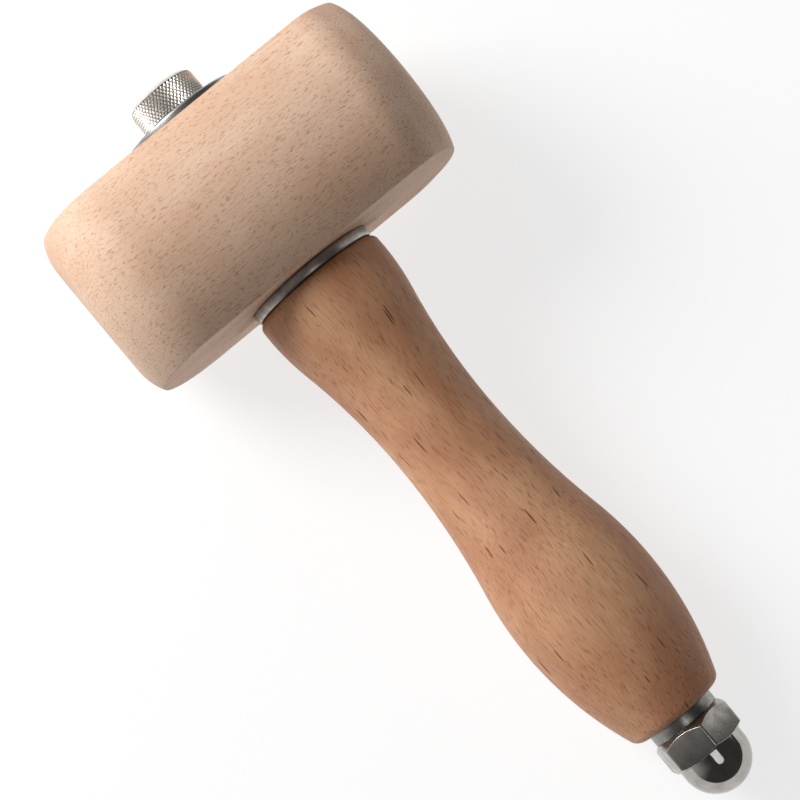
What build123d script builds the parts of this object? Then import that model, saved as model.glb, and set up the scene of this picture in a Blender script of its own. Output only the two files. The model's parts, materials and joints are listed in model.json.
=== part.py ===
from build123d import *
import math
import os

# Wooden T-head mallet, held together by one long M10 screw.
# Turned beech barrel and handle, clamped between a knurled screw head and a domed nut.
# Millimetres, +Z up. The mallet lies on its side, resting on the barrel and the palm swell.
# Every piece is drawn in the tool's own axes first: the screw runs along X with the
# knurled head at +X, the barrel runs along Y, and the origin is the barrel's centre.

os.makedirs("parts", exist_ok=True)

# Barrel (the striking head)
BARREL_R = 29.2
BARREL_LEN = 84.0
FLAT_HALF = 20.4
SHOULDER_Y = 31.0
FACE_CORNER_R = 18.8
SHOULDER_BLEND = 15.5
FACE_ROUND = 14.0

# Handle
HANDLE_LEN = 121.1
COLLAR_R = 16.1
WAIST_R = 12.2
SWELL_R = 17.1
COLLAR_ARC = 55.0
SWELL_ARC = 79.0
COLLAR_ROUND = 1.8
BUTT_ROUND = 2.5

# Screw, clearance holes and washers
BORE_R = 5.25
SHANK_R = 5.0
THREAD_R = 4.5
SCREW_LEN = 180.0
THREAD_LEN = 32.0
KNOB_R = 8.25
KNOB_H = 7.8
KNOB_BEVEL = 0.7
SOCKET_AF = 8.0
SOCKET_DEPTH = 5.2
WASHER_R = 15.5
WASHER_T = 2.5
RING_R = 8.1
RING_T = 2.8
RIM_BEVEL = 0.35

# Domed nut
NUT_AF = 17.0
NUT_CORNER_R = 9.75
NUT_HEX_H = 7.4
NUT_FACE_R = 8.0
NUT_BEVEL_ANGLE = 42.0
NUT_BACK_R = 8.4
NUT_BACK_ANGLE = 30.0
NUT_TURN = -12.0
DOME_R = 8.0
DOME_H = 10.1
TAPPED_R = 4.56
TAPPED_DEPTH = 13.2

# Stations along the screw axis
TOP_SEAT = FLAT_HALF
KNOB_SEAT = TOP_SEAT + WASHER_T
NECK_SEAT = -FLAT_HALF
HANDLE_TOP = NECK_SEAT - WASHER_T
HANDLE_END = HANDLE_TOP - HANDLE_LEN
NUT_SEAT = HANDLE_END - RING_T
SCREW_TIP = KNOB_SEAT - SCREW_LEN
DOME_TIP = NUT_SEAT - NUT_HEX_H - DOME_H
COLLAR_X = HANDLE_TOP - 3.7
WAIST_X = HANDLE_TOP - 42.7
SWELL_X = HANDLE_TOP - 91.2

# Resting pose: tip the screw axis down until the swell meets the bench
swell_rise = SWELL_ARC - SWELL_R
rest_reach = math.hypot(swell_rise, SWELL_X)
TILT = math.degrees(math.acos((SWELL_ARC - BARREL_R) / rest_reach) - math.atan2(-SWELL_X, swell_rise))
COS_T = math.cos(math.radians(TILT))
SIN_T = math.sin(math.radians(TILT))
REACH_HEAD = (KNOB_SEAT + KNOB_H) * COS_T + (KNOB_R - KNOB_BEVEL) * SIN_T
REACH_TAIL = (DOME_TIP + DOME_R) * COS_T - DOME_R
SHIFT_X = -(REACH_HEAD + REACH_TAIL) / 2
PLACE = Pos(SHIFT_X, 0, BARREL_R) * Rot(0, -TILT, 0)


def turned(outline):
    """Solid of revolution about the screw axis from (x, radius) corners."""
    face = make_face(Polyline(*outline, close=True))
    return revolve(face, Axis.X)


def drilled(solid, radius, start, end):
    """Round hole along the screw axis between two stations."""
    length = abs(end - start)
    tool = Cylinder(radius, length, rotation=(0, 90, 0))
    return solid - Pos((start + end) / 2, 0, 0) * tool


# Mallet head: turned barrel with rounded shoulders, planed flat top and bottom
half = BARREL_LEN / 2
with BuildSketch() as barrel_outline:
    with BuildLine():
        Polyline(
            (0, -half),
            (FACE_CORNER_R, -half),
            (BARREL_R, -SHOULDER_Y),
            (BARREL_R, SHOULDER_Y),
            (FACE_CORNER_R, half),
            (0, half),
            close=True,
        )
    make_face()
    shoulder_corners = [v for v in vertices() if abs(v.X - BARREL_R) < 0.01]
    fillet(shoulder_corners, SHOULDER_BLEND)
    face_corners = [v for v in vertices() if abs(v.X - FACE_CORNER_R) < 0.01]
    fillet(face_corners, FACE_ROUND)
barrel = revolve(barrel_outline.sketch, Axis.Y)
barrel = barrel & Box(2 * FLAT_HALF, 2 * BARREL_LEN, 4 * BARREL_R)
mallet_head = drilled(barrel, BORE_R, -BARREL_R, BARREL_R)

# Handle: convex collar, hollow waist and convex palm swell, four arcs meeting in tangency
neck_turn = 2 * math.atan((COLLAR_R - WAIST_R) / (COLLAR_X - WAIST_X))
neck_hollow = (COLLAR_X - WAIST_X) / math.sin(neck_turn) - COLLAR_ARC
palm_turn = 2 * math.atan((SWELL_R - WAIST_R) / (WAIST_X - SWELL_X))
palm_hollow = (WAIST_X - SWELL_X) / math.sin(palm_turn) - SWELL_ARC
top_edge_r = COLLAR_R - COLLAR_ARC + math.sqrt(COLLAR_ARC**2 - (HANDLE_TOP - COLLAR_X) ** 2)
butt_r = SWELL_R - SWELL_ARC + math.sqrt(SWELL_ARC**2 - (SWELL_X - HANDLE_END) ** 2)
neck_joint_x = COLLAR_X - COLLAR_ARC * math.sin(neck_turn)
neck_joint_r = COLLAR_R - COLLAR_ARC * (1 - math.cos(neck_turn))
palm_joint_x = SWELL_X + SWELL_ARC * math.sin(palm_turn)
palm_joint_r = SWELL_R - SWELL_ARC * (1 - math.cos(palm_turn))
with BuildSketch() as handle_outline:
    with BuildLine():
        RadiusArc((HANDLE_TOP, top_edge_r), (neck_joint_x, neck_joint_r), -COLLAR_ARC)
        RadiusArc((neck_joint_x, neck_joint_r), (WAIST_X, WAIST_R), neck_hollow)
        RadiusArc((WAIST_X, WAIST_R), (palm_joint_x, palm_joint_r), palm_hollow)
        RadiusArc((palm_joint_x, palm_joint_r), (HANDLE_END, butt_r), -SWELL_ARC)
        Line((HANDLE_END, butt_r), (HANDLE_END, 0))
        Line((HANDLE_END, 0), (HANDLE_TOP, 0))
        Line((HANDLE_TOP, 0), (HANDLE_TOP, top_edge_r))
    make_face()
    collar_corner = [v for v in vertices() if v.Y > 9 and v.X > HANDLE_TOP - 0.01]
    fillet(collar_corner, COLLAR_ROUND)
    butt_corner = [v for v in vertices() if v.Y > 9 and v.X < HANDLE_END + 0.01]
    fillet(butt_corner, BUTT_ROUND)
grip = revolve(handle_outline.sketch, Axis.X)
handle = drilled(grip, BORE_R, HANDLE_TOP, HANDLE_END)

# Tie bolt: knurled socket head, plain shank, threaded tail drawn at its pitch diameter
thread_start = SCREW_TIP + THREAD_LEN
knob_top = KNOB_SEAT + KNOB_H
bolt = turned([
    (knob_top, 0),
    (knob_top, KNOB_R - KNOB_BEVEL),
    (knob_top - KNOB_BEVEL, KNOB_R),
    (KNOB_SEAT + 0.9, KNOB_R),
    (KNOB_SEAT, KNOB_R - 0.9),
    (KNOB_SEAT, SHANK_R),
    (thread_start, SHANK_R),
    (thread_start - 0.5, THREAD_R),
    (SCREW_TIP + 1.0, THREAD_R),
    (SCREW_TIP, THREAD_R - 1.0),
    (SCREW_TIP, 0),
])
socket_hex = RegularPolygon(SOCKET_AF / 2, 6, major_radius=False)
socket_plane = Plane(origin=(knob_top, 0, 0), x_dir=(0, 1, 0), z_dir=(1, 0, 0))
socket_cut = extrude(socket_plane * socket_hex, -SOCKET_DEPTH)
tie_bolt = bolt - socket_cut


def washer(seat, radius, thickness):
    """Flat ring with bevelled rims; its +X side sits at the given station."""
    back = seat - thickness
    return turned([
        (seat, BORE_R),
        (seat, radius - RIM_BEVEL),
        (seat - RIM_BEVEL, radius),
        (back + RIM_BEVEL, radius),
        (back, radius - RIM_BEVEL),
        (back, BORE_R),
    ])


# Large washers above and below the barrel, and the thick ring under the nut
top_washer = washer(KNOB_SEAT, WASHER_R, WASHER_T)
neck_washer = washer(NECK_SEAT, WASHER_R, WASHER_T)
end_washer = washer(HANDLE_END, RING_R, RING_T)

# Domed nut: hexagon bevelled at both ends, closed dome beyond it, blind tapped hole
hex_back = NUT_SEAT - NUT_HEX_H
hex_plane = Plane(origin=(NUT_SEAT, 0, 0), x_dir=(0, 0, 1), z_dir=(-1, 0, 0))
hexagon = Rot(0, 0, NUT_TURN) * RegularPolygon(NUT_AF / 2, 6, major_radius=False)
hex_prism = extrude(hex_plane * hexagon, NUT_HEX_H)
bevel_drop = (NUT_CORNER_R - NUT_FACE_R) * math.tan(math.radians(NUT_BEVEL_ANGLE))
back_drop = (NUT_CORNER_R - NUT_BACK_R) * math.tan(math.radians(NUT_BACK_ANGLE))
blank = turned([
    (NUT_SEAT, 0),
    (NUT_SEAT, NUT_FACE_R),
    (NUT_SEAT - bevel_drop, NUT_CORNER_R),
    (hex_back + back_drop, NUT_CORNER_R),
    (hex_back, NUT_BACK_R),
    (hex_back, 0),
])
dome_centre = DOME_TIP + DOME_R
with BuildSketch() as dome_outline:
    with BuildLine():
        Line((hex_back + 0.5, 0), (hex_back + 0.5, DOME_R))
        Line((hex_back + 0.5, DOME_R), (dome_centre, DOME_R))
        RadiusArc((dome_centre, DOME_R), (DOME_TIP, 0), -DOME_R)
        Line((DOME_TIP, 0), (hex_back + 0.5, 0))
    make_face()
dome = revolve(dome_outline.sketch, Axis.X)
tapped_hole = turned([
    (NUT_SEAT, 0),
    (NUT_SEAT, TAPPED_R + 0.6),
    (NUT_SEAT - 0.6, TAPPED_R),
    (NUT_SEAT - TAPPED_DEPTH, TAPPED_R),
    (NUT_SEAT - TAPPED_DEPTH - 1.6, 0),
])
acorn_nut = (hex_prism & blank) + dome - tapped_hole

pieces = {
    "mallet_head": mallet_head,
    "handle": handle,
    "tie_bolt": tie_bolt,
    "top_washer": top_washer,
    "neck_washer": neck_washer,
    "end_washer": end_washer,
    "acorn_nut": acorn_nut,
}
for name, shape in pieces.items():
    placed = PLACE * shape
    placed.label = name
    export_step(placed, f"parts/{name}.step")
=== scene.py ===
import json
import math

import bmesh
import bpy
from mathutils import Matrix, Vector


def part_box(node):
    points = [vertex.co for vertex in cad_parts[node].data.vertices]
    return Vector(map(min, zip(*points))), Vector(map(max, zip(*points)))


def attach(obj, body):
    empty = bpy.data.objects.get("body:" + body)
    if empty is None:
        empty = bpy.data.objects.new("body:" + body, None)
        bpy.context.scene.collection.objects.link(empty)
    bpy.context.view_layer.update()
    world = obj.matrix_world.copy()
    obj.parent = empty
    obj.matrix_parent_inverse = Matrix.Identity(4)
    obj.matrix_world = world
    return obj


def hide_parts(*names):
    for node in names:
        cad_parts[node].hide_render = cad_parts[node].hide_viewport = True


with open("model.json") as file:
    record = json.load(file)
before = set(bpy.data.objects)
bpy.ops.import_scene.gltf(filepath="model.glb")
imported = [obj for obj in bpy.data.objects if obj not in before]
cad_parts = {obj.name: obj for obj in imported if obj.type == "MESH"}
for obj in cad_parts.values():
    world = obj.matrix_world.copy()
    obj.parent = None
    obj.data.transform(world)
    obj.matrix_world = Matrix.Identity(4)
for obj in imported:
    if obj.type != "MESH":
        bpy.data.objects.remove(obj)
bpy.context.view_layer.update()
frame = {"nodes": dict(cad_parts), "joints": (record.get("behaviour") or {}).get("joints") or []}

# --- Striking head --------------------------------------------------------------------
# A short beech barrel, turned between centres with the grain along it. Its ends are turned
# in to smaller striking faces and two opposite sides are planed flat for the washers. The
# long screw passes through a hole drilled across the grain.

# Sizes are in millimetres, and MM turns them to the row's metres
MM = 0.001
BARREL_R = 29.2
BARREL_HALF = 42.0
FLAT_HALF = 20.4
# Corners of the outline at +y and at -y, as (along, radius, rounding): one end is rounder
LEFT_END = ((BARREL_HALF, 18.8, 13.5), (32.8, BARREL_R, 16.8))
RIGHT_END = ((BARREL_HALF, 21.2, 11.0), (32.6, BARREL_R, 10.0))
RIM_EASE = 0.3
BORE_R = 5.25
DRILL_REACH = 40
MERGE_WITHIN = 0.004

# The tool's own axes: the screw along x with the knurled head at +x, the barrel along y
low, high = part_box("mallet_head")
head_centre = (Vector(low) + Vector(high)) / 2
travel = next(joint for joint in frame["joints"] if joint["name"] == "nut_travel")
screw_axis = -Vector(travel["axis"]).normalized()
barrel_axis = Vector((0, 1, 0))
tool_turn = Matrix((screw_axis, barrel_axis, screw_axis.cross(barrel_axis))).transposed()
tool_place = Matrix.Translation(head_centre) @ tool_turn.to_4x4() @ Matrix.Scale(MM, 4)


def place(x, y, z):
    """Place in the row of a point given in the tool's axes, in millimetres."""
    return tool_place @ Vector((x, y, z))


def rounded(corners, steps=4):
    """Outline through (along, radius, rounding) corners, each eased by an arc."""
    outline = []
    for i, (along, radius, ease) in enumerate(corners):
        here = Vector((along, radius))
        if not ease:
            outline.append(here)
            continue
        back = (Vector(corners[i - 1][:2]) - here).normalized()
        ahead = (Vector(corners[(i + 1) % len(corners)][:2]) - here).normalized()
        half_angle = back.angle(ahead) / 2
        centre = here + (back + ahead).normalized() * ease / math.sin(half_angle)
        start = (here + back * ease / math.tan(half_angle) - centre).normalized()
        end = (here + ahead * ease / math.tan(half_angle) - centre).normalized()
        outline += [centre + start.slerp(end, step / steps) * ease
                    for step in range(steps + 1)]
    return outline


def skin(name, *shells, knurl=None, crease=35):
    """Closed piece from shells, each a list of rings with the same number of points.

    Edges sharper than the crease, in degrees, stay crisp.
    """
    bm = bmesh.new()
    for rings in shells:
        rows = [[bm.verts.new(point) for point in ring] for ring in rings]
        for upper, lower in zip(rows, rows[1:]):
            for i in range(len(upper)):
                j = (i + 1) % len(upper)
                bm.faces.new((upper[i], upper[j], lower[j], lower[i]))
    if knurl:
        bm.from_mesh(knurl)
    bmesh.ops.remove_doubles(bm, verts=bm.verts, dist=MERGE_WITHIN * MM)
    bmesh.ops.recalc_face_normals(bm, faces=bm.faces)
    mesh = bpy.data.meshes.new(name)
    bm.to_mesh(mesh)
    bm.free()
    mesh.shade_smooth()
    mesh.set_sharp_from_angle(angle=math.radians(crease))
    piece = bpy.data.objects.new(name, mesh)
    bpy.context.scene.collection.objects.link(piece)
    return piece


left, right = [
    rounded([(BARREL_HALF, 0, 0), *corners, (0, BARREL_R, 0)], steps=16)
    for corners in (LEFT_END, RIGHT_END)]
barrel_line = left + [Vector((-y, r)) for y, r in reversed(right[:-1])]
# Points round each ring gather at the rim, where a planed flat meets the round: these are
# their shares of the angle from the flat's middle to the rim, and from the rim on
across_flat = (0, 0.3, 0.55, 0.75, 0.88, 0.94, 0.97, 0.985, 1)
across_round = (0.01, 0.02, 0.04, 0.07, 0.12, 0.2, 0.3, 0.42, 0.56, 0.7, 0.85, 1)
least_rim = math.radians(5)
barrel_rings = []
for y, radius in barrel_line:
    rim = max(math.acos(min(1, FLAT_HALF / max(radius, 0.01))), least_rim)
    quarter = [rim * t for t in across_flat]
    quarter += [rim + (math.pi / 2 - rim) * t for t in across_round]
    half_turn = quarter + [math.pi - t for t in reversed(quarter[1:-1])]
    ring = []
    for angle in half_turn + [math.pi + t for t in half_turn]:
        flat = FLAT_HALF / max(abs(math.cos(angle)), 1e-6)
        blend = max(RIM_EASE - abs(radius - flat), 0) / RIM_EASE
        out = max(min(radius, flat) - blend * blend * RIM_EASE / 4, 0)
        ring.append(place(out * math.cos(angle), y, out * math.sin(angle)))
    barrel_rings.append(ring)
striking_head = skin("striking_head", barrel_rings, crease=50)


def turned(x, radius, sides=96):
    """Ring of points round the screw axis at one station along it."""
    return [place(x, radius * math.cos(t), radius * math.sin(t))
            for t in (math.tau * i / sides for i in range(sides))]


# The screw's hole, cut through from flat to flat
drill = skin("drill", [turned(x, r) for x, r in (
    (-DRILL_REACH, 0), (-DRILL_REACH, BORE_R), (DRILL_REACH, BORE_R), (DRILL_REACH, 0))])
bore = striking_head.modifiers.new("bore", "BOOLEAN")
bore.operation = "DIFFERENCE"
bore.solver = "EXACT"
bore.object = drill
bored = striking_head.evaluated_get(bpy.context.evaluated_depsgraph_get())
drilled_mesh = bpy.data.meshes.new_from_object(bored)
striking_head.modifiers.clear()
striking_head.data = drilled_mesh
bpy.data.objects.remove(drill)


def linear(code):
    """Scene colour of an sRGB hex code."""
    parts = [int(code[i:i + 2], 16) / 255 for i in (0, 2, 4)]
    return tuple(c / 12.92 if c <= 0.04045 else ((c + 0.055) / 1.055) ** 2.4
                 for c in parts) + (1.0,)


def add(tree, kind, inputs=None, **settings):
    """Adds a node: settings are its properties, and inputs are values or linked sockets."""
    made = tree.nodes.new(kind)
    for name, value in settings.items():
        setattr(made, name, value)
    for name, value in (inputs or {}).items():
        if isinstance(value, bpy.types.NodeSocket):
            tree.links.new(value, made.inputs[name])
        else:
            made.inputs[name].default_value = value
    return made


# Beech's figure: growth rings, fibres, broad patches, the grain's slow wander, ray dents
RING_WIDTH = 3.4
FIBRE_SIZE = (9, 0.35, 0.35)
PATCH_SIZE = (26, 12, 12)
WANDER_LENGTH = 30
RAY_DENT = 0.12


def beech(name, turn, tint, rays, pith, swerve_mm=2.4):
    """Beech: pale wood whose short brown rays show as dashes along the grain.

    The turn lays the grain along the piece. Tint holds its hex colours and the rings'
    strength, and rays the sizes in millimetres and the strength of the two kinds of ray.
    """
    material = bpy.data.materials.new(name)
    material.use_nodes = True
    tree = material.node_tree
    tree.nodes.clear()
    point = add(tree, "ShaderNodeTexCoord")
    # Millimetres on the piece, x along the grain and z from the pith outwards
    grain = add(tree, "ShaderNodeMapping", {
        "Vector": point.outputs["Object"], "Location": head_centre,
        "Rotation": turn.to_euler(), "Scale": (MM, MM, MM)}, vector_type="TEXTURE")
    wander = add(tree, "ShaderNodeTexNoise", {
        "Vector": grain.outputs[0], "Scale": 1 / WANDER_LENGTH, "Detail": 1.0})
    swerve = add(tree, "ShaderNodeVectorMath", {
        0: wander.outputs["Color"], 1: (0.0, swerve_mm, swerve_mm), 2: grain.outputs[0]},
        operation="MULTIPLY_ADD")
    # Rays: long dashes one to a cell, and a dense scatter of short ones
    dashes = add(tree, "ShaderNodeVectorMath", {
        0: swerve.outputs[0], 1: tuple(1 / mm for mm in rays["cell"])},
        operation="MULTIPLY")
    cells = add(tree, "ShaderNodeTexVoronoi", {
        "Vector": dashes.outputs[0], "Scale": 1.0, "Randomness": 1.0})
    chance = add(tree, "ShaderNodeSeparateColor", {0: cells.outputs["Color"]})
    ray_size = add(tree, "ShaderNodeMapRange", {
        "Value": chance.outputs[0], "From Min": 0.0, "From Max": 1.0,
        "To Min": rays["least"], "To Max": rays["most"]})
    inside = add(tree, "ShaderNodeMath", {
        0: ray_size.outputs[0], 1: cells.outputs["Distance"]}, operation="SUBTRACT")
    dash = add(tree, "ShaderNodeMapRange", {
        "Value": inside.outputs[0], "From Min": 0.0, "From Max": 0.09},
        interpolation_type="SMOOTHSTEP")
    fine = add(tree, "ShaderNodeVectorMath", {
        0: swerve.outputs[0], 1: tuple(1 / mm for mm in rays["fine"])},
        operation="MULTIPLY")
    flecks = add(tree, "ShaderNodeTexNoise", {
        "Vector": fine.outputs[0], "Scale": 1.0, "Detail": 1.0, "Roughness": 0.4})
    fleck = add(tree, "ShaderNodeMapRange", {
        "Value": flecks.outputs["Fac"], "From Min": 0.54, "From Max": 0.74},
        interpolation_type="SMOOTHSTEP")
    # Growth rings round the pith, each closing on a thin darker line
    from_pith = add(tree, "ShaderNodeVectorMath", {
        0: swerve.outputs[0], 1: (0.0, 1.0, 1.0), 2: pith}, operation="MULTIPLY_ADD")
    radius = add(tree, "ShaderNodeVectorMath", {0: from_pith.outputs[0]}, operation="LENGTH")
    years = add(tree, "ShaderNodeMath", {
        0: radius.outputs["Value"], 1: 1 / RING_WIDTH}, operation="MULTIPLY")
    season = add(tree, "ShaderNodeMath", {0: years.outputs[0]}, operation="FRACT")
    ring = add(tree, "ShaderNodeMapRange", {
        "Value": season.outputs[0], "From Min": 0.55, "From Max": 0.97},
        interpolation_type="SMOOTHSTEP")
    # Long fibres, and broad pinker patches
    along = add(tree, "ShaderNodeVectorMath", {
        0: swerve.outputs[0], 1: tuple(1 / mm for mm in FIBRE_SIZE)},
        operation="MULTIPLY")
    fibres = add(tree, "ShaderNodeTexNoise", {
        "Vector": along.outputs[0], "Scale": 1.0, "Detail": 3.0})
    broad = add(tree, "ShaderNodeVectorMath", {
        0: grain.outputs[0], 1: tuple(1 / mm for mm in PATCH_SIZE)},
        operation="MULTIPLY")
    patches = add(tree, "ShaderNodeTexNoise", {
        "Vector": broad.outputs[0], "Scale": 1.0, "Detail": 2.0})
    patch = add(tree, "ShaderNodeMapRange", {
        "Value": patches.outputs["Fac"], "From Min": 0.35, "From Max": 0.65})
    # The colours laid one on the other: ground, fibres, rings, short rays, long rays
    ground = add(tree, "ShaderNodeMix", {
        "Factor": patch.outputs[0], "A": linear(tint["pale"]), "B": linear(tint["pink"])},
        data_type="RGBA")
    fibre_share = add(tree, "ShaderNodeMapRange", {
        "Value": fibres.outputs["Fac"], "From Min": 0.3, "From Max": 0.7, "To Max": 0.35})
    fibred = add(tree, "ShaderNodeMix", {
        "Factor": fibre_share.outputs[0], "A": ground.outputs["Result"],
        "B": linear(tint["fibre"])}, data_type="RGBA")
    ring_share = add(tree, "ShaderNodeMath", {0: ring.outputs[0], 1: tint["rings"]},
                     operation="MULTIPLY")
    ringed = add(tree, "ShaderNodeMix", {
        "Factor": ring_share.outputs[0], "A": fibred.outputs["Result"],
        "B": linear(tint["fibre"])}, data_type="RGBA")
    fleck_share = add(tree, "ShaderNodeMath", {0: fleck.outputs[0], 1: rays["fine_depth"]},
                      operation="MULTIPLY")
    flecked = add(tree, "ShaderNodeMix", {
        "Factor": fleck_share.outputs[0], "A": ringed.outputs["Result"],
        "B": linear(tint["ray"])}, data_type="RGBA")
    dash_share = add(tree, "ShaderNodeMath", {0: dash.outputs[0], 1: rays["depth"]},
                     operation="MULTIPLY")
    dashed = add(tree, "ShaderNodeMix", {
        "Factor": dash_share.outputs[0], "A": flecked.outputs["Result"],
        "B": linear(tint["ray"])}, data_type="RGBA")
    # A sanded, hardly shiny surface with each ray a shallow dent
    grit = add(tree, "ShaderNodeMapRange", {
        "Value": fibres.outputs["Fac"], "To Min": 0.5, "To Max": 0.66})
    hollow = add(tree, "ShaderNodeMath", {
        0: dash_share.outputs[0], 1: fleck_share.outputs[0]}, operation="ADD")
    dents = add(tree, "ShaderNodeBump", {
        "Height": hollow.outputs[0], "Strength": 0.35, "Distance": RAY_DENT * MM},
        invert=True)
    surface = add(tree, "ShaderNodeBsdfPrincipled", {
        "Base Color": dashed.outputs["Result"], "Roughness": grit.outputs[0],
        "Normal": dents.outputs[0], "IOR": 1.5, "Specular IOR Level": 0.35})
    add(tree, "ShaderNodeOutputMaterial", {"Surface": surface.outputs[0]})
    return material


def fit_piece(piece, material, body, slot, *stands_for):
    """Gives a piece its material and body, and hides the CAD nodes that it replaces. The slot is
    not used.
    """
    piece.data.materials.clear()
    piece.data.materials.append(material)
    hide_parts(*stands_for)
    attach(piece, body)


# Bare sanded beech: a pale, dry, pinkish wood with a dense scatter of short brown flecks
head_turn = tool_turn @ Matrix.Rotation(math.pi / 2, 3, "Z")
head_beech = beech("sanded_beech_barrel", head_turn,
                   {"pale": "DABDA5", "pink": "D0AC92", "fibre": "B98A6C", "ray": "8F5F46",
                    "rings": 0.1},
                   {"cell": (2.4, 0.5, 1.5), "least": -0.12, "most": 0.24, "depth": 0.36,
                    "fine": (1.2, 0.3, 0.6), "fine_depth": 0.5},
                   (0.0, 14.0, 70.0))
fit_piece(striking_head, head_beech, "clamped_mallet", "head_beech", "mallet_head")

# --- Washers --------------------------------------------------------------------------
# Two large stamped steel washers, zinc plated. One spreads the screw head's load on the
# planed top of the barrel, and the other sits between the barrel and the handle.

WASHER_R = 15.5
WASHER_T = 2.5
WASHER_EASE = 0.55
HOLE_EASE = 0.15
# Lathe marks, drawn coarser than the real 0.05 so that they show, and the plate's patches
LATHE_MARK = 0.12
MARK_DEPTH = 0.03
PLATE_PATCH = 2.6


def steel(name, tint, dull, gloss, painted_groove_shade=None):
    """Bright steel with faint lathe marks round the screw axis and a blotchy sheen.

    Gloss is its least and most roughness and the marks' strength. The groove settings give the
    colour and the place of painted shade, laid dark on the bottoms of a cut pattern.
    """
    material = bpy.data.materials.new(name)
    material.use_nodes = True
    tree = material.node_tree
    tree.nodes.clear()
    point = add(tree, "ShaderNodeTexCoord")
    tool = add(tree, "ShaderNodeMapping", {
        "Vector": point.outputs["Object"], "Location": head_centre,
        "Rotation": tool_turn.to_euler(), "Scale": (MM, MM, MM)}, vector_type="TEXTURE")
    off_axis = add(tree, "ShaderNodeVectorMath", {0: tool.outputs[0], 1: (0.0, 1.0, 1.0)},
                   operation="MULTIPLY")
    radius = add(tree, "ShaderNodeVectorMath", {0: off_axis.outputs[0]}, operation="LENGTH")
    station = add(tree, "ShaderNodeSeparateXYZ", {0: tool.outputs[0]})
    swept = add(tree, "ShaderNodeCombineXYZ", {
        0: station.outputs[0], 1: radius.outputs["Value"]})
    lathe = add(tree, "ShaderNodeTexNoise", {
        "Vector": swept.outputs[0], "Scale": 1 / LATHE_MARK, "Detail": 2.0})
    blotch = add(tree, "ShaderNodeTexNoise", {
        "Vector": tool.outputs[0], "Scale": 1 / PLATE_PATCH, "Detail": 4.0})
    wear = add(tree, "ShaderNodeMapRange", {
        "Value": blotch.outputs["Fac"], "From Min": 0.35, "From Max": 0.7})
    colour = add(tree, "ShaderNodeMix", {
        "Factor": wear.outputs[0], "A": linear(tint), "B": linear(dull)}, data_type="RGBA")
    # Painted shade: near the groove bottoms, within the knurled band, the colour turns dark
    if painted_groove_shade:
        proud = add(tree, "ShaderNodeMapRange", {
            "Value": radius.outputs["Value"], "From Min": painted_groove_shade["bottom"],
            "From Max": painted_groove_shade["unshaded"]})
        inside = add(tree, "ShaderNodeMath", {
            0: station.outputs[0], 1: painted_groove_shade["middle"], 2: painted_groove_shade["half_width"]},
            operation="COMPARE")
        outside = add(tree, "ShaderNodeMath", {0: 1.0, 1: inside.outputs[0]},
                      operation="SUBTRACT")
        unshaded = add(tree, "ShaderNodeMath", {0: proud.outputs[0], 1: outside.outputs[0]},
                    operation="MAXIMUM")
        colour = add(tree, "ShaderNodeMix", {
            "Factor": unshaded.outputs[0], "A": linear(painted_groove_shade["shade"]),
            "B": colour.outputs["Result"]}, data_type="RGBA")
    mixed = add(tree, "ShaderNodeMath", {0: lathe.outputs["Fac"], 1: blotch.outputs["Fac"]},
                operation="ADD")
    polish = add(tree, "ShaderNodeMapRange", {
        "Value": mixed.outputs[0], "From Min": 0.7, "From Max": 1.35,
        "To Min": gloss[0], "To Max": gloss[1]})
    ridges = add(tree, "ShaderNodeBump", {
        "Height": lathe.outputs["Fac"], "Strength": gloss[2], "Distance": MARK_DEPTH * MM})
    surface = add(tree, "ShaderNodeBsdfPrincipled", {
        "Base Color": colour.outputs["Result"], "Metallic": 1.0,
        "Roughness": polish.outputs[0], "Normal": ridges.outputs[0]})
    add(tree, "ShaderNodeOutputMaterial", {"Surface": surface.outputs[0]})
    return material


def stamped(name, seat, outer, thickness, ease):
    """Flat ring whose outer corners are rounded; its +x face sits at the seat station."""
    line = rounded([
        (seat, BORE_R, HOLE_EASE), (seat, outer, ease),
        (seat - thickness, outer, ease), (seat - thickness, BORE_R, HOLE_EASE)])
    return skin(name, [turned(x, r) for x, r in line + line[:1]])


# Zinc plate on steel: a middling grey with cloudy patches and soft, stretched highlights
zinc = steel("zinc_plated_washer_steel", "B2AEAB", "878481", (0.24, 0.44, 0.2))
seat_washer = stamped("seat_washer", FLAT_HALF + WASHER_T, WASHER_R, WASHER_T, WASHER_EASE)
fit_piece(seat_washer, zinc, "clamped_mallet", "washer_steel", "top_washer")
collar_washer = stamped("collar_washer", -FLAT_HALF, WASHER_R, WASHER_T, WASHER_EASE)
fit_piece(collar_washer, zinc, "clamped_mallet", "washer_steel", "neck_washer")

# --- Tie bolt -------------------------------------------------------------------------
# One long M10 steel screw holds the tool together. Its round head is diamond knurled so
# that it can be spun by hand, with a hexagon socket in its top. The thread is rolled on
# the last part of its shank.

KNOB_HEIGHT = 7.8
KNOB_SEAT = FLAT_HALF + WASHER_T
KNOB_TOP = KNOB_SEAT + KNOB_HEIGHT
KNOB_TOP_R = 7.25
KNOB_SEAT_R = 7.2
BEVEL_TOP = 0.65
BEVEL_SEAT = 0.95
ROOT_R = 7.92
TOOTH_H = 0.33
TEETH = 54
ROWS = 9
SOCKET_FLAT = 4.0
SOCKET_DEPTH = 5.2
SOCKET_POINT = 1.4
SOCKET_EASE = 0.3
SOCKET_MOUTH_R = 5.2
SCREW_LENGTH = 180
SHANK_R = 5.0
SCREW_TIP = KNOB_SEAT - SCREW_LENGTH
TIP_R = 3.3
TIP_BEVEL = 0.8
THREAD_LENGTH = 32
THREAD_START = SCREW_TIP + THREAD_LENGTH
RUNOUT = 0.8
PITCH = 1.5
CREST_R = 4.95
THREAD_DEPTH = 0.92
THREAD_TURNS = 20.2
FIRST_TURN = SCREW_TIP + 0.9
# Widths of the thread's ridge at its crest and at its foot, as shares of the pitch
CREST_SHARE = 0.14
FOOT_SHARE = 0.9


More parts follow.
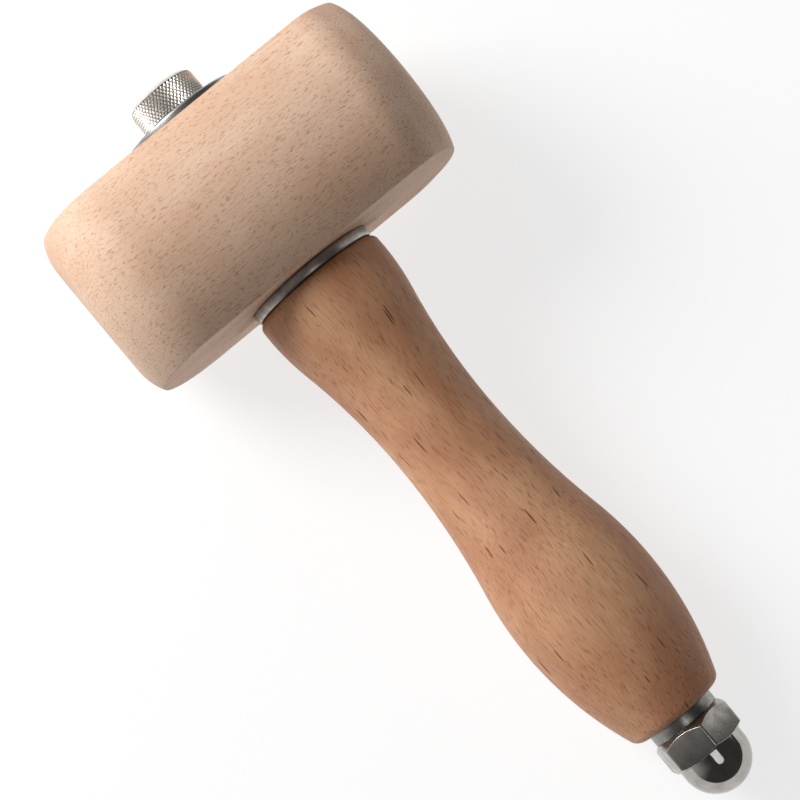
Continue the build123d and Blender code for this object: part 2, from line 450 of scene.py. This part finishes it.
def nodes_tree(name, inputs):
    """Empty Geometry Nodes tree with named inputs, and its group input and output nodes."""
    tree = bpy.data.node_groups.new(name, "GeometryNodeTree")
    for label, kind in inputs:
        tree.interface.new_socket(name=label, in_out="INPUT", socket_type=kind)
    tree.interface.new_socket(
        name="Geometry", in_out="OUTPUT", socket_type="NodeSocketGeometry")
    return tree, add(tree, "NodeGroupInput").outputs, tree.nodes.new("NodeGroupOutput")


def grown(tree, sizes):
    """Plain mesh made by a Geometry Nodes tree once its named sizes are set."""
    holder = bpy.data.objects.new(tree.name, bpy.data.meshes.new(tree.name))
    bpy.context.scene.collection.objects.link(holder)
    modifier = holder.modifiers.new(tree.name, "NODES")
    modifier.node_group = tree
    for socket in tree.interface.items_tree:
        if socket.in_out == "INPUT":
            modifier[socket.identifier] = sizes[socket.name]
    grown_holder = holder.evaluated_get(bpy.context.evaluated_depsgraph_get())
    mesh = bpy.data.meshes.new_from_object(grown_holder)
    bpy.data.objects.remove(holder)
    mesh.transform(tool_place)
    return mesh


first_tooth = KNOB_TOP - BEVEL_TOP
last_tooth = KNOB_SEAT + BEVEL_SEAT
# Bright steel cut by a knurling wheel: white points that glint, grooves darkened by painted
# shade
knurled = steel("knurled_bright_steel", "EAE6E0", "CFCBC6", (0.3, 0.46, 0.12), painted_groove_shade={
    "shade": "3A3734", "bottom": ROOT_R - 0.03, "unshaded": ROOT_R + 0.1,
    "middle": (first_tooth + last_tooth) / 2, "half_width": (first_tooth - last_tooth) / 2})
tree, size, result = nodes_tree("diamond_knurl", [
    ("Teeth Round", "NodeSocketInt"), ("Rows", "NodeSocketInt"),
    ("Root Radius", "NodeSocketFloat"), ("Tooth Height", "NodeSocketFloat"),
    ("Half Tooth", "NodeSocketFloat"), ("First Station", "NodeSocketFloat"),
    ("Finish", "NodeSocketMaterial")])
# One tooth: a four-sided point bent round the screw head
point = add(tree, "GeometryNodeMeshCone", {
    "Vertices": 4, "Radius Top": 0.0, "Radius Bottom": 1.0, "Depth": 1.0}, fill_type="NONE")
where = add(tree, "GeometryNodeInputPosition")
corner = add(tree, "ShaderNodeSeparateXYZ", {0: where.outputs[0]})
half_angle = add(tree, "ShaderNodeMath", {0: math.pi, 1: size["Teeth Round"]},
                 operation="DIVIDE")
bend = add(tree, "ShaderNodeMath", {0: corner.outputs[0], 1: half_angle.outputs[0]},
           operation="MULTIPLY")
tall = add(tree, "ShaderNodeMath", {
    0: corner.outputs[2], 1: size["Tooth Height"], 2: size["Root Radius"]},
    operation="MULTIPLY_ADD")
long = add(tree, "ShaderNodeMath", {0: corner.outputs[1], 1: size["Half Tooth"]},
           operation="MULTIPLY")
cosine = add(tree, "ShaderNodeMath", {0: bend.outputs[0]}, operation="COSINE")
sine = add(tree, "ShaderNodeMath", {0: bend.outputs[0]}, operation="SINE")
bent_y = add(tree, "ShaderNodeMath", {0: tall.outputs[0], 1: cosine.outputs[0]},
             operation="MULTIPLY")
bent_z = add(tree, "ShaderNodeMath", {0: tall.outputs[0], 1: sine.outputs[0]},
             operation="MULTIPLY")
bent = add(tree, "ShaderNodeCombineXYZ", {
    0: long.outputs[0], 1: bent_y.outputs[0], 2: bent_z.outputs[0]})
tooth = add(tree, "GeometryNodeSetPosition", {
    "Geometry": point.outputs[0], "Position": bent.outputs[0]})
# The teeth stand in rows round the head, every other row half a tooth on
count = add(tree, "ShaderNodeMath", {0: size["Teeth Round"], 1: size["Rows"]},
            operation="MULTIPLY")
spots = add(tree, "GeometryNodeMeshLine", {
    "Count": count.outputs[0], "Offset": (0.0, 0.0, 0.0)})
index = add(tree, "GeometryNodeInputIndex")
turns = add(tree, "ShaderNodeMath", {0: index.outputs[0], 1: size["Teeth Round"]},
            operation="DIVIDE")
row = add(tree, "ShaderNodeMath", {0: turns.outputs[0]}, operation="FLOOR")
odd = add(tree, "ShaderNodeMath", {0: row.outputs[0], 1: 2.0}, operation="MODULO")
shift = add(tree, "ShaderNodeMath", {0: odd.outputs[0], 1: half_angle.outputs[0]},
            operation="MULTIPLY")
angle = add(tree, "ShaderNodeMath", {0: turns.outputs[0], 1: math.tau, 2: shift.outputs[0]},
            operation="MULTIPLY_ADD")
next_row = add(tree, "ShaderNodeMath", {0: row.outputs[0], 1: 1.0}, operation="ADD")
drop = add(tree, "ShaderNodeMath", {0: next_row.outputs[0], 1: size["Half Tooth"]},
           operation="MULTIPLY")
station = add(tree, "ShaderNodeMath", {0: size["First Station"], 1: drop.outputs[0]},
              operation="SUBTRACT")
spot = add(tree, "ShaderNodeCombineXYZ", {0: station.outputs[0]})
rows = add(tree, "GeometryNodeSetPosition", {
    "Geometry": spots.outputs[0], "Position": spot.outputs[0]})
spin = add(tree, "ShaderNodeCombineXYZ", {0: angle.outputs[0]})
teeth = add(tree, "GeometryNodeInstanceOnPoints", {
    "Points": rows.outputs[0], "Instance": tooth.outputs[0], "Rotation": spin.outputs[0]})
real = add(tree, "GeometryNodeRealizeInstances", {0: teeth.outputs[0]})
painted = add(tree, "GeometryNodeSetMaterial", {
    "Geometry": real.outputs[0], "Material": size["Finish"]})
tree.links.new(painted.outputs[0], result.inputs[0])
half_tooth = (first_tooth - last_tooth) / (ROWS + 1)
knurl = grown(tree, {"Teeth Round": TEETH, "Rows": ROWS, "Root Radius": ROOT_R,
                     "Tooth Height": TOOTH_H, "Half Tooth": half_tooth,
                     "First Station": first_tooth, "Finish": knurled})


def wrench_ring(x, extra=0.0):
    """Ring of the hexagon socket, with two points to each knurl tooth."""
    ring = []
    for i in range(2 * TEETH):
        t = math.tau * i / (2 * TEETH)
        across = t % (math.pi / 3) - math.pi / 6
        r = SOCKET_FLAT / math.cos(across) + extra
        ring.append(place(x, r * math.cos(t), r * math.sin(t)))
    return ring


def zigzag(x_even, x_odd):
    """Ring along the open edge of the knurl's first or last row of teeth."""
    even, odd = turned(x_even, ROOT_R, 2 * TEETH), turned(x_odd, ROOT_R, 2 * TEETH)
    return [odd[i] if i % 2 else even[i] for i in range(2 * TEETH)]


socket_floor = KNOB_TOP - SOCKET_DEPTH
top_part = [turned(socket_floor - SOCKET_POINT, 0, 2 * TEETH), wrench_ring(socket_floor),
            wrench_ring(KNOB_TOP - SOCKET_EASE), wrench_ring(KNOB_TOP, SOCKET_EASE)]
top_part += [turned(x, r, 2 * TEETH) for x, r in rounded(
    [(KNOB_TOP, SOCKET_MOUTH_R, 0), (KNOB_TOP, KNOB_TOP_R, 0.25), (first_tooth, ROOT_R, 0)],
    steps=3)]
top_part.append(zigzag(first_tooth, first_tooth - half_tooth))
lower_line = [(last_tooth, ROOT_R, 0), (KNOB_SEAT, KNOB_SEAT_R, 0.2),
              (KNOB_SEAT, SHANK_R, 0), (THREAD_START, SHANK_R, 0),
              (THREAD_START - RUNOUT, CREST_R - THREAD_DEPTH, 0),
              (SCREW_TIP + TIP_BEVEL, CREST_R - THREAD_DEPTH, 0), (SCREW_TIP, TIP_R, 0),
              (SCREW_TIP, 0, 0)]
lower_part = [zigzag(last_tooth, last_tooth + half_tooth)]
lower_part += [turned(x, r, 2 * TEETH) for x, r in rounded(lower_line, steps=3)]
knurled_screw = skin("knurled_screw", top_part, lower_part, knurl=knurl, crease=28)
fit_piece(knurled_screw, knurled, "clamped_mallet", "bolt_steel", "tie_bolt")

# Rolled thread on bright steel: smooth grey flanks with a thin light on every crest
bright = steel("rolled_thread_steel", "B9B7B3", "8D8B88", (0.2, 0.36, 0.1))
tree, size, result = nodes_tree("screw_thread", [
    ("Turns", "NodeSocketFloat"), ("Pitch", "NodeSocketFloat"),
    ("Middle Radius", "NodeSocketFloat"), ("Depth", "NodeSocketFloat"),
    ("First Station", "NodeSocketFloat"), ("Finish", "NodeSocketMaterial")])
# A ridge that narrows outwards is swept along a right-handed helix and laid on the shank
rise = add(tree, "ShaderNodeMath", {0: size["Turns"], 1: size["Pitch"]}, operation="MULTIPLY")
helix = add(tree, "GeometryNodeCurveSpiral", {
    "Resolution": 40, "Rotations": size["Turns"], "Start Radius": size["Middle Radius"],
    "End Radius": size["Middle Radius"], "Height": rise.outputs[0], "Reverse": True})
upright = add(tree, "GeometryNodeSetCurveNormal", {"Curve": helix.outputs[0]}, mode="Z_UP")
crest = add(tree, "ShaderNodeMath", {0: size["Pitch"], 1: CREST_SHARE},
            operation="MULTIPLY")
foot = add(tree, "ShaderNodeMath", {0: size["Pitch"], 1: FOOT_SHARE},
           operation="MULTIPLY")
ridge = add(tree, "GeometryNodeCurvePrimitiveQuadrilateral", {
    "Height": size["Depth"], "Bottom Width": foot.outputs[0], "Top Width": crest.outputs[0],
    "Offset": 0.0}, mode="TRAPEZOID")
outward = add(tree, "GeometryNodeTransform", {
    "Geometry": ridge.outputs[0], "Rotation": (0.0, 0.0, -math.pi / 2)})
swept = add(tree, "GeometryNodeCurveToMesh", {
    "Curve": upright.outputs[0], "Profile Curve": outward.outputs[0], "Fill Caps": True})
start = add(tree, "ShaderNodeCombineXYZ", {0: size["First Station"]})
laid = add(tree, "GeometryNodeTransform", {
    "Geometry": swept.outputs[0], "Translation": start.outputs[0],
    "Rotation": (0.0, math.pi / 2, 0.0)})
real = add(tree, "GeometryNodeRealizeInstances", {0: laid.outputs[0]})
painted = add(tree, "GeometryNodeSetMaterial", {
    "Geometry": real.outputs[0], "Material": size["Finish"]})
tree.links.new(painted.outputs[0], result.inputs[0])
thread_mesh = grown(tree, {
    "Turns": THREAD_TURNS, "Pitch": PITCH, "Middle Radius": CREST_R - THREAD_DEPTH / 2,
    "Depth": THREAD_DEPTH, "First Station": FIRST_TURN, "Finish": bright})
screw_thread = bpy.data.objects.new("screw_thread", thread_mesh)
bpy.context.scene.collection.objects.link(screw_thread)
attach(screw_thread, "clamped_mallet")

# --- Handle ---------------------------------------------------------------------------
# One beech grip, turned with a collar, a waist and a palm swell, and bored from end to end
# for the screw that clamps it against the barrel. The solid's own mesh is kept.

HANDLE_LENGTH = 121.1

# Oiled beech: a warm red brown that deepens at the fibres, with long dark rays
handle_beech = beech("oiled_beech_grip", tool_turn,
                     {"pale": "CC9C78", "pink": "B47E5D", "fibre": "94613F", "ray": "5E3320",
                      "rings": 0.12},
                     {"cell": (13.0, 1.0, 3.2), "least": -0.08, "most": 0.26, "depth": 0.82,
                      "fine": (2.6, 0.36, 0.7), "fine_depth": 0.4},
                     (0.0, 10.0, 60.0), swerve_mm=4.5)
frame["nodes"]["handle"].data.materials.clear()
frame["nodes"]["handle"].data.materials.append(handle_beech)

# --- End ring -------------------------------------------------------------------------
# A thick plain steel ring, parted off a turned bar. It slips loose over the screw and is
# clamped between the handle's butt and the nut.

HANDLE_END = -FLAT_HALF - WASHER_T - HANDLE_LENGTH
RING_R = 8.1
RING_T = 2.8
RING_EASE = 0.3
butt_ring = stamped("butt_ring", HANDLE_END, RING_R, RING_T, RING_EASE)
# Plain steel with a satin cut from the lathe: a dull grey that mirrors only broad shapes
ring_steel = steel("satin_ring_steel", "9E9B98", "7A7876", (0.25, 0.45, 0.2))
fit_piece(butt_ring, ring_steel, "loose_ring", "ring_steel", "end_washer")

# --- Domed nut ------------------------------------------------------------------------
# An M10 steel cap nut, nickel plated, screwed on to the end of the screw. Its hexagon is
# bevelled at both ends, and its polished dome covers the tip.

NUT_SEAT = HANDLE_END - RING_T
HEX_FLAT = 8.5
HEX_CORNER_R = 9.72
HEX_EASE = 0.12
HEX_H = 7.4
SEAT_R = 8.0
SEAT_SLOPE = math.tan(math.radians(42))
BACK_R = 8.4
BACK_SLOPE = math.tan(math.radians(30))
BEVEL_EASE = 0.2
DOME_R = 8.0
DOME_CENTRE = 9.5
CORNER_AT = 96
TAPPED_R = 5.05
TAPPED_MOUTH = 0.6
TAPPED_END = 12.2
DRILL_POINT = 13.8

# Degrees on from a corner of the hexagon: the points gather at the corners
side_steps = (0, 0.6, 1.3, 2.4, 4, 7, 11, 16, 22, 30, 38, 44, 49, 53, 56, 57.6, 58.7, 59.4)
nut_angles = [math.radians(CORNER_AT + 60 * side + t)
              for side in range(6) for t in side_steps]
dome_arc = [Vector((DOME_CENTRE + DOME_R * math.sin(a), DOME_R * math.cos(a)))
            for a in (math.pi / 2 * i / 20 for i in range(21))]
nut_lines = []
for t in nut_angles:
    across = (math.degrees(t) - CORNER_AT) % 60 - 30
    flat = HEX_FLAT / math.cos(math.radians(across))
    blend = max(HEX_EASE - abs(flat - HEX_CORNER_R), 0) / HEX_EASE
    edge = min(flat, HEX_CORNER_R) - blend * blend * HEX_EASE / 4
    nut_lines.append(rounded([
        (DRILL_POINT, 0, 0), (TAPPED_END, TAPPED_R, 0), (TAPPED_MOUTH, TAPPED_R, 0),
        (0, TAPPED_R + TAPPED_MOUTH, 0), (0, SEAT_R, BEVEL_EASE),
        ((edge - SEAT_R) * SEAT_SLOPE, edge, BEVEL_EASE),
        (HEX_H - (edge - BACK_R) * BACK_SLOPE, edge, BEVEL_EASE), (HEX_H, BACK_R, 0.05),
        (HEX_H, DOME_R, 0)]) + dome_arc)
cap_nut = skin("cap_nut", [
    [place(NUT_SEAT - line[i][0], line[i][1] * math.cos(t), line[i][1] * math.sin(t))
     for t, line in zip(nut_angles, nut_lines)] for i in range(len(nut_lines[0]))], crease=30)
# Nickel plate over machined flats: a warm grey with a satin gloss
nickel = steel("satin_nickel_hexagon", "B5B1AB", "908B85", (0.2, 0.34, 0.1))
fit_piece(cap_nut, nickel, "domed_nut", "nut_plating", "acorn_nut")
# Nickel plate over a buffed dome: a clear mirror, dark where the room is dark
cap_nut.data.materials.append(
    steel("polished_nickel_dome", "B2AEA9", "9E9A95", (0.05, 0.1, 0.02)))
nut_seat = place(NUT_SEAT, 0, 0)
for face in cap_nut.data.polygons:
    if (nut_seat - face.center).dot(screw_axis) > (HEX_H + 0.01) * MM:
        face.material_index = 1

# --- Bench, light and camera ----------------------------------------------------------
# The mallet lies on a white card that gives off a little light of its own. A large lamp
# stands over the barrel, and the room falls off to dark on the side away from the lamp.

CARD_REACH = 20.0
card_corners = [(x * CARD_REACH, y * CARD_REACH, 0)
                for x, y in ((-1, -1), (1, -1), (1, 1), (-1, 1))]
floor_mesh = bpy.data.meshes.new("floor")
floor_mesh.from_pydata(card_corners, [], [(0, 1, 2, 3)])
floor = bpy.data.objects.new("floor", floor_mesh)
bpy.context.scene.collection.objects.link(floor)
# Matt card: white all over, with the shadow no more than a soft grey
card = bpy.data.materials.new("matt_white_card")
card.use_nodes = True
card.node_tree.nodes.clear()
sheet = add(card.node_tree, "ShaderNodeBsdfPrincipled", {
    "Base Color": linear("898989"), "Roughness": 0.9,
    "Emission Color": linear("FFFFFF"), "Emission Strength": 0.74})
add(card.node_tree, "ShaderNodeOutputMaterial", {"Surface": sheet.outputs[0]})
floor_mesh.materials.append(card)

# The room: white and bright on the lamp's side, and nearly dark on the other
world = bpy.data.worlds.new("studio")
world.use_nodes = True
bpy.context.scene.world = world
tree = world.node_tree
tree.nodes.clear()
sky = add(tree, "ShaderNodeTexCoord")
towards_key = add(tree, "ShaderNodeVectorMath", {
    0: sky.outputs["Generated"], 1: (0.85, 0.5, -0.1)}, operation="DOT_PRODUCT")
shade = add(tree, "ShaderNodeMapRange", {
    "Value": towards_key.outputs["Value"], "From Min": -0.1, "From Max": 0.85, "To Min": 0.06,
    "To Max": 0.9}, interpolation_type="SMOOTHSTEP")
room = add(tree, "ShaderNodeBackground", {
    "Color": linear("FFFFFF"), "Strength": shade.outputs[0]})
add(tree, "ShaderNodeOutputWorld", {0: room.outputs[0]})


def softbox(name, direction, distance, size, power):
    """Round lamp, sized in metres, that faces the middle of the bench."""
    lamp = bpy.data.lights.new(name, "AREA")
    lamp.shape = "DISK"
    lamp.size = size
    lamp.energy = power
    holder = bpy.data.objects.new(name, lamp)
    direction = Vector(direction).normalized()
    holder.location = direction * distance
    holder.rotation_euler = direction.to_track_quat("Z", "Y").to_euler()
    bpy.context.scene.collection.objects.link(holder)


# The lamp, a weak light from above, and a faint one low on the dark side
softbox("key", (0.64, 0.42, 0.64), 0.9, 0.5, 8.0)
softbox("window", (-0.36, 0.0, 1.0), 1.2, 0.5, 0.8)
softbox("bounce", (0.0, -0.97, 0.25), 0.9, 0.44, 0.4)

# The camera looks down on the mallet from half a metre above it
camera_data = bpy.data.cameras.new("camera")
camera_data.sensor_width = 36
camera_data.lens = 122.53
camera = bpy.data.objects.new("camera", camera_data)
camera.location = head_centre + Vector((-0.143544, 0.04497, 0.5733))
camera.rotation_euler = [math.radians(a) for a in (9.3757, 2.4548, -129.8369)]
bpy.context.scene.collection.objects.link(camera)
bpy.context.scene.camera = camera
bpy.context.scene.view_settings.view_transform = "Standard"
